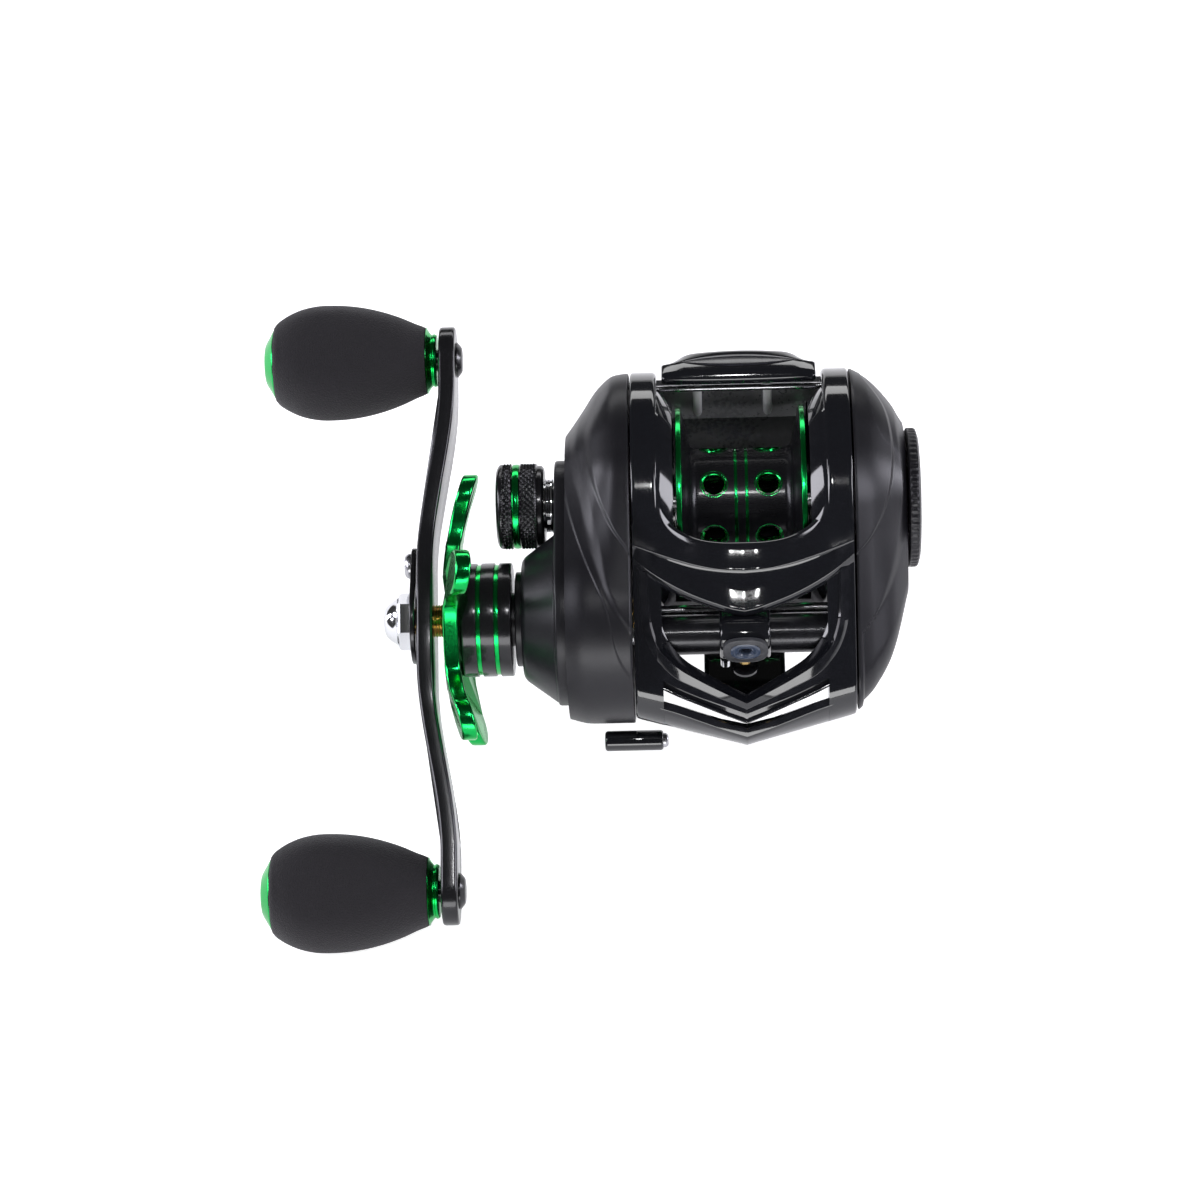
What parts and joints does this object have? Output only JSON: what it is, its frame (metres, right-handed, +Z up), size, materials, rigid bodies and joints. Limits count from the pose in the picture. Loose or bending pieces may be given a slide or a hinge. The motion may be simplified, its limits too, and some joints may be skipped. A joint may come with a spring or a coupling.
{
  "type": "baitcasting reel",
  "caption": "Low-profile baitcasting fishing reel with double foam-knob handle, star drag, levelling line guide, thumb bar and perforated spool.",
  "frame": {"origin": "centre of the flat underside of the reel foot", "axes": "+Z up from the rod through the spool, -Y towards the rod tip, -X towards the handle"},
  "size_m": [0.117, 0.1091, 0.061],
  "materials": {
    "gloss_black": "gloss",
    "matte_black": "fine satin",
    "inner_plastic": "moulded",
    "anodised_green": "anodised",
    "black_aluminium": "anodised gloss",
    "chrome": "polished",
    "steel": "plain",
    "brass": "machined",
    "foam": "EVA foam",
    "carbon": "woven",
    "ceramic": "polished ceramic"
  },
  "bodies": {
    "body": {"frame": "gloss_black", "front_hood": "gloss_black", "reel_foot": "gloss_black", "foot_screw_front": "steel", "foot_screw_rear": "steel", "handle_side_cover": "matte_black", "gear_plate": "inner_plastic", "palm_side_cover": "matte_black", "brake_base": "inner_plastic", "spool_bearing_palm": "steel", "pinion_bearing": "steel", "spool_bearing_handle": "steel", "shaft_bearing": "steel", "roller_clutch": "steel", "tension_boss": "chrome", "worm_tube": "inner_plastic", "guide_rod": "chrome", "thumb_guide_pin": "chrome", "cover_tab": "gloss_black", "yoke_spring_upper": "steel", "yoke_spring_lower": "steel"},
    "handle": {"drive_shaft": "brass", "drive_gear": "brass", "level_wind_drive_gear": "steel", "drag_washer": "carbon", "key_washer": "steel", "belleville_washer": "steel", "clutch_sleeve": "steel", "handle_arm": "black_aluminium", "handle_nut": "chrome", "keeper_plate": "black_aluminium", "keeper_screw": "chrome", "knob_post_front": "steel", "knob_post_rear": "steel"},
    "star_drag": {"drag_star": "anodised_green", "star_hub": "gloss_black"},
    "knob_front": {"knob_grip_front": "foam", "knob_collar_front": "anodised_green", "knob_cap_front": "anodised_green"},
    "knob_rear": {"knob_grip_rear": "foam", "knob_collar_rear": "anodised_green", "knob_cap_rear": "anodised_green"},
    "spool": {"spool": "gloss_black", "spool_shaft": "chrome"},
    "clutch": {"clutch_yoke": "inner_plastic"},
    "pinion": {"pinion_gear": "brass"},
    "thumb_bar": {"thumb_bar": "gloss_black", "thumb_bar_pad": "matte_black", "thumb_carrier": "inner_plastic", "clutch_cam": "inner_plastic"},
    "worm": {"worm_shaft": "steel", "worm_gear": "inner_plastic"},
    "line_guide": {"line_guide": "gloss_black", "line_guide_insert": "ceramic", "level_wind_pawl": "brass", "pawl_cap": "gloss_black"},
    "cast_control": {"cast_control_knob": "gloss_black", "cast_control_ring": "anodised_green"},
    "brake_dial": {"brake_dial": "matte_black"},
    "magnets": {"magnet_carrier": "inner_plastic"}
  },
  "joints": [
    {"name": "handle_turn", "type": "hinge", "parent": "body", "child": "handle", "pos_m": [-0.05, -0.01822, 0.0131], "axis": [1, 0, 0], "continuous": true},
    {"name": "star_drag_turn", "type": "hinge", "parent": "handle", "child": "star_drag", "pos_m": [-0.05, -0.01822, 0.0131], "axis": [1, 0, 0], "range_deg": [-180, 180]},
    {"name": "knob_front_spin", "type": "hinge", "parent": "handle", "child": "knob_front", "pos_m": [-0.07, -0.06235, -0.00702], "axis": [1, 0, 0], "continuous": true},
    {"name": "knob_rear_spin", "type": "hinge", "parent": "handle", "child": "knob_rear", "pos_m": [-0.07, 0.02592, 0.03321], "axis": [1, 0, 0], "continuous": true},
    {"name": "spool_spin", "type": "hinge", "parent": "body", "child": "spool", "pos_m": [0, 0, 0.0225], "axis": [1, 0, 0], "continuous": true},
    {"name": "worm_turn", "type": "hinge", "parent": "body", "child": "worm", "pos_m": [0, -0.02607, 0.01749], "axis": [1, 0, 0], "continuous": true},
    {"name": "line_guide_slide", "type": "slide", "parent": "body", "child": "line_guide", "axis": [1, 0, 0], "range_m": [-0.009, 0.009]},
    {"name": "thumb_bar_press", "type": "slide", "parent": "body", "child": "thumb_bar", "axis": [0, 0, -1], "range_m": [0, 0.0028], "stiffness_N_per_m": 40, "springref_m": -0.002},
    {"name": "clutch_slide", "type": "slide", "parent": "body", "child": "clutch", "axis": [-1, 0, 0], "range_m": [0, 0.0015]},
    {"name": "pinion_spin", "type": "hinge", "parent": "clutch", "child": "pinion", "pos_m": [-0.023, 0, 0.0225], "axis": [1, 0, 0], "continuous": true},
    {"name": "cast_control_turn", "type": "hinge", "parent": "body", "child": "cast_control", "pos_m": [-0.039, 0, 0.0225], "axis": [1, 0, 0], "range_deg": [-180, 180]},
    {"name": "brake_dial_turn", "type": "hinge", "parent": "body", "child": "brake_dial", "pos_m": [0.0305, 0, 0.0225], "axis": [1, 0, 0], "range_deg": [0, 300]},
    {"name": "magnet_slide", "type": "slide", "parent": "body", "child": "magnets", "axis": [-1, 0, 0], "range_m": [0, 0.0012]}
  ],
  "couplings": [
    {"joint": "spool_spin", "follows": "handle_turn", "ratio": -7.2},
    {"joint": "pinion_spin", "follows": "handle_turn", "ratio": -7.2},
    {"joint": "worm_turn", "follows": "handle_turn", "ratio": -1.5714},
    {"joint": "clutch_slide", "follows": "thumb_bar_press", "ratio": 0.53571},
    {"joint": "brake_dial_turn", "follows": "magnet_slide", "rad_per_m": 4363}
  ]
}
